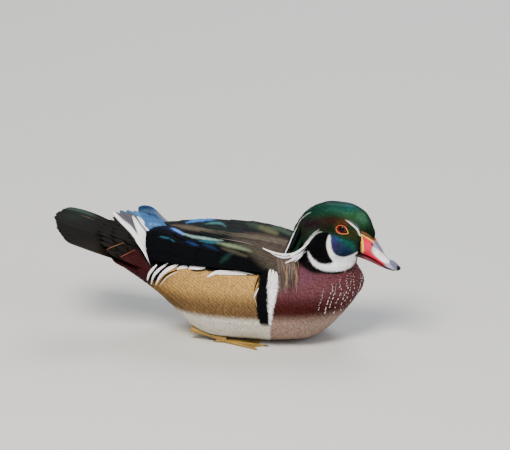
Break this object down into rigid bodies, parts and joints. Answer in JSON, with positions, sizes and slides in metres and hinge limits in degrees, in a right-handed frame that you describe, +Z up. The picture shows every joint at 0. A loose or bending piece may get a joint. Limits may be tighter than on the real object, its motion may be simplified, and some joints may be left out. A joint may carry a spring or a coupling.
{
  "type": "wood duck",
  "caption": "Life-size wood duck drake sitting on its belly with folded wings, raised tail, drooping crest and feet tucked under, as a still museum model.",
  "frame": {"origin": "centre of the flat of the belly that the bird rests on, midway between its sides", "axes": "+X points from the tail to the breast, +Y to the bird's left, and +Z up; the head is turned a little to the bird's right"},
  "size_m": [0.3663, 0.1252, 0.1458],
  "materials": {
    "body_feathers": "feathered: chestnut breast, buff flanks, white bars",
    "head_feathers": "iridescent green and purple feathers with white lines",
    "wing_feathers": "dark feathers with a blue and green gloss",
    "tail_feathers": "blackish feathers with a green gloss",
    "bill_horn": "smooth horn, red at the base, white in the middle, black at the tip",
    "eye_glass": "polished, red iris with a black pupil",
    "foot_skin": "dull yellow scaly skin with darker webs"
  },
  "bodies": {
    "root": {"torso": "body_feathers", "neck": "head_feathers", "head": "head_feathers", "crest": "head_feathers", "bill_upper": "bill_horn", "bill_lower": "bill_horn", "eye_left": "eye_glass", "eye_right": "eye_glass", "wing_left": "wing_feathers", "wing_right": "wing_feathers", "tail": "tail_feathers", "leg_left": "foot_skin", "leg_right": "foot_skin"}
  },
  "joints": []
}
